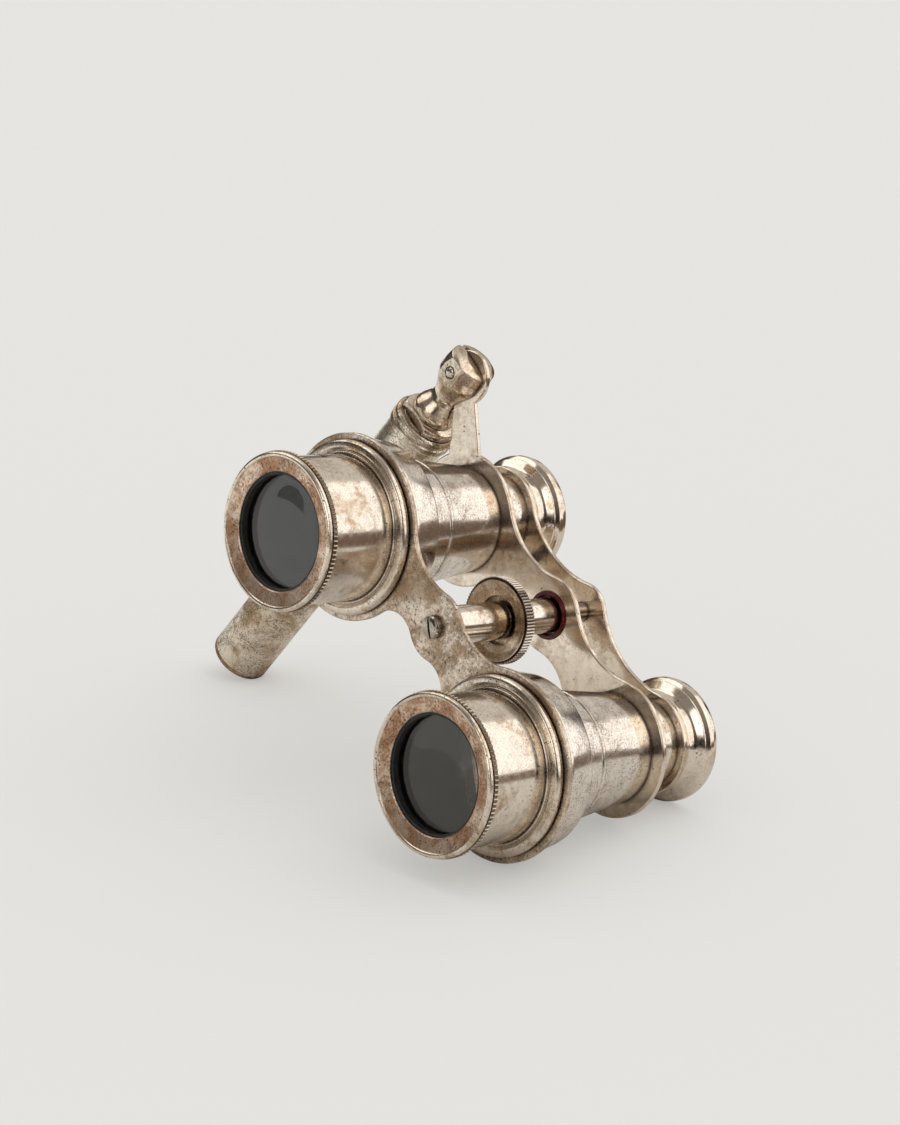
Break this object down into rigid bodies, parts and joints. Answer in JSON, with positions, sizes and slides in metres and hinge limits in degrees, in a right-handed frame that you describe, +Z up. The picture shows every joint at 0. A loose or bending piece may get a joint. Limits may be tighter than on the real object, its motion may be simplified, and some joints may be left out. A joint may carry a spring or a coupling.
{
  "type": "opera glasses",
  "caption": "Folding opera glasses: two tapered barrels on bridge plates, a centre focus wheel that slides the eyepieces, and a hinged telescoping handle.",
  "frame": {"origin": "centre of the bounding box on the ground plane z = 0, with the glasses resting on one barrel and on the end of the handle", "axes": "+Z up; the barrels point along Y with the objectives towards -Y; +X runs from the handle to the barrel that lies on the ground"},
  "size_m": [0.1456, 0.081, 0.0911],
  "materials": {
    "silver_plate": "silver plate, polished and worn",
    "bridge_plate": "silver plate, tarnished brown",
    "wheel_plate": "silver plate, worn and heat tinted",
    "screw_steel": "turned",
    "blackened_ring": "matt black",
    "red_fibre": "dark red vulcanised fibre",
    "lens_glass": "clear polished"
  },
  "bodies": {
    "frame": {"front_bridge": "bridge_plate", "middle_bridge": "bridge_plate", "objective_bezel_left": "silver_plate", "lens_seat_left": "blackened_ring", "objective_lens_left": "lens_glass", "lens_stop_left": "blackened_ring", "objective_tube_left": "silver_plate", "flange_left": "silver_plate", "barrel_shoulder_left": "silver_plate", "barrel_body_left": "silver_plate", "objective_bezel_right": "silver_plate", "lens_seat_right": "blackened_ring", "objective_lens_right": "lens_glass", "lens_stop_right": "blackened_ring", "objective_tube_right": "silver_plate", "flange_right": "silver_plate", "barrel_shoulder_right": "silver_plate", "barrel_body_right": "silver_plate", "focus_post": "silver_plate", "post_screw": "screw_steel", "guide_bush": "red_fibre"},
    "wheel": {"focus_wheel": "wheel_plate", "focus_sleeve": "silver_plate"},
    "carriage": {"rear_bridge": "bridge_plate", "draw_tube_left": "silver_plate", "eyecup_left": "silver_plate", "eye_lens_left": "lens_glass", "eye_lens_ring_left": "blackened_ring", "draw_tube_right": "silver_plate", "eyecup_right": "silver_plate", "eye_lens_right": "lens_glass", "eye_lens_ring_right": "blackened_ring", "focus_rod": "screw_steel", "rod_nut": "screw_steel"},
    "handle": {"handle_fork": "silver_plate", "hinge_rivet": "silver_plate", "handle_slider": "silver_plate", "slider_stop": "silver_plate"},
    "grip": {"grip_collar": "silver_plate", "grip_tube": "silver_plate", "grip_cap": "silver_plate"}
  },
  "joints": [
    {"name": "wheel_turn", "type": "hinge", "parent": "frame", "child": "wheel", "pos_m": [0.03014, 0.00115, 0.04103], "axis": [0, 0.9921, -0.1257], "range_deg": [-315.01, 202.51]},
    {"name": "focus_slide", "type": "slide", "parent": "frame", "child": "carriage", "axis": [0, 0.9921, -0.1257], "range_m": [-0.007, 0.0045]},
    {"name": "handle_fold", "type": "hinge", "parent": "frame", "child": "handle", "pos_m": [-0.00396, 0.02386, 0.08525], "axis": [0, 0.9921, -0.1257], "range_deg": [0, 268]},
    {"name": "grip_slide", "type": "slide", "parent": "handle", "child": "grip", "axis": [-0.613, -0.0993, -0.7838], "range_m": [0, 0.06]}
  ],
  "couplings": [
    {"joint": "wheel_turn", "follows": "focus_slide", "rad_per_m": 785.4}
  ]
}
